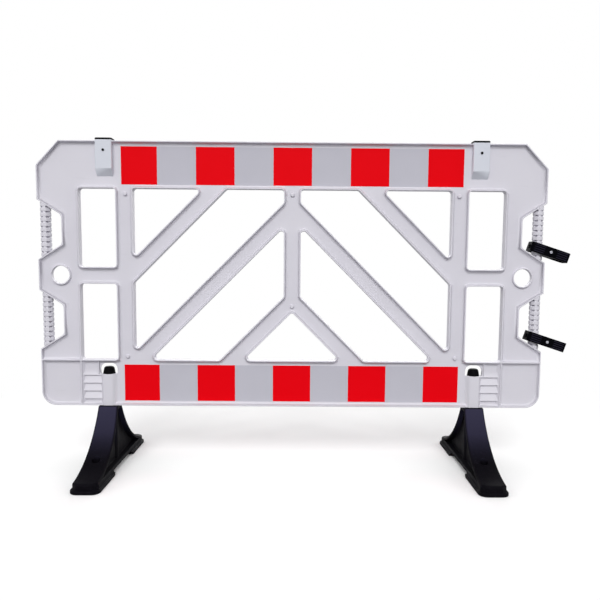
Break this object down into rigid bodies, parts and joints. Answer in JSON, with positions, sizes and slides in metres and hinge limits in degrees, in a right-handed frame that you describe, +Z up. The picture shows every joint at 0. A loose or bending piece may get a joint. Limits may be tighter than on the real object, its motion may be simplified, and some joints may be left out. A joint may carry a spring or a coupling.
{
  "type": "construction barrier",
  "caption": "Portable barrier: open lattice panel with red and white reflective rails, on turning feet, with lamp brackets on top and clamp couplers at one end.",
  "frame": {"origin": "on the ground, midway between the four anchor holes of the feet", "axes": "+X along the panel towards the end with the couplers, +Y through the panel away from the front, +Z up"},
  "size_m": [1.6368, 0.54, 1.018],
  "materials": {
    "panel_plastic": "grey-white polyethylene, as moulded",
    "film_red": "red retroreflective film",
    "film_white": "silver-white retroreflective film",
    "bracket_plastic": "grey-white plastic, as moulded",
    "pad_rubber": "black, matt",
    "foot_plastic": "dark recycled plastic, as moulded",
    "cap_plastic": "dark plastic, as moulded",
    "coupler_plastic": "dark plastic, as moulded",
    "dark_steel": "blackened",
    "bright_steel": "zinc plated"
  },
  "bodies": {
    "barrier": {"panel": "panel_plastic", "coupling_post_upper_left": "panel_plastic", "coupling_post_lower_left": "panel_plastic", "coupling_post_upper_right": "panel_plastic", "coupling_post_lower_right": "panel_plastic", "film_front_upper_red": "film_red", "film_front_upper_white": "film_white", "film_front_lower_red": "film_red", "film_front_lower_white": "film_white", "film_rear_upper_red": "film_red", "film_rear_upper_white": "film_white", "film_rear_lower_red": "film_red", "film_rear_lower_white": "film_white", "lamp_bracket_front_left": "bracket_plastic", "lamp_bracket_rear_left": "bracket_plastic", "lamp_pad_left": "pad_rubber", "lamp_bracket_front_right": "bracket_plastic", "lamp_bracket_rear_right": "bracket_plastic", "lamp_pad_right": "pad_rubber", "bracket_screws": "dark_steel", "bracket_nuts": "dark_steel"},
    "left_foot": {"foot_left": "foot_plastic", "foot_cap_left": "cap_plastic"},
    "right_foot": {"foot_right": "foot_plastic", "foot_cap_right": "cap_plastic"},
    "upper_coupler": {"coupler_upper_front_half": "coupler_plastic", "coupler_bolt_upper": "bright_steel"},
    "upper_coupler_rear": {"coupler_upper_rear_half": "coupler_plastic", "coupler_nut_upper": "bright_steel"},
    "lower_coupler": {"coupler_lower_front_half": "coupler_plastic", "coupler_bolt_lower": "bright_steel"},
    "lower_coupler_rear": {"coupler_lower_rear_half": "coupler_plastic", "coupler_nut_lower": "bright_steel"}
  },
  "joints": [
    {"name": "left_foot_turn", "type": "hinge", "parent": "barrier", "child": "left_foot", "pos_m": [-0.573, 0, 0.195], "axis": [0, 0, 1], "range_deg": [-90, 90]},
    {"name": "right_foot_turn", "type": "hinge", "parent": "barrier", "child": "right_foot", "pos_m": [0.573, 0, 0.195], "axis": [0, 0, 1], "range_deg": [-90, 90]},
    {"name": "upper_coupler_swing", "type": "hinge", "parent": "barrier", "child": "upper_coupler", "pos_m": [0.7585, 0, 0.695], "axis": [0, 0, 1], "range_deg": [-30, 30]},
    {"name": "upper_coupler_opening", "type": "slide", "parent": "upper_coupler", "child": "upper_coupler_rear", "axis": [0, 1, 0], "range_m": [0, 0.004]},
    {"name": "lower_coupler_swing", "type": "hinge", "parent": "barrier", "child": "lower_coupler", "pos_m": [0.7585, 0, 0.4175], "axis": [0, 0, 1], "range_deg": [-30, 30]},
    {"name": "lower_coupler_opening", "type": "slide", "parent": "lower_coupler", "child": "lower_coupler_rear", "axis": [0, 1, 0], "range_m": [0, 0.004]}
  ]
}
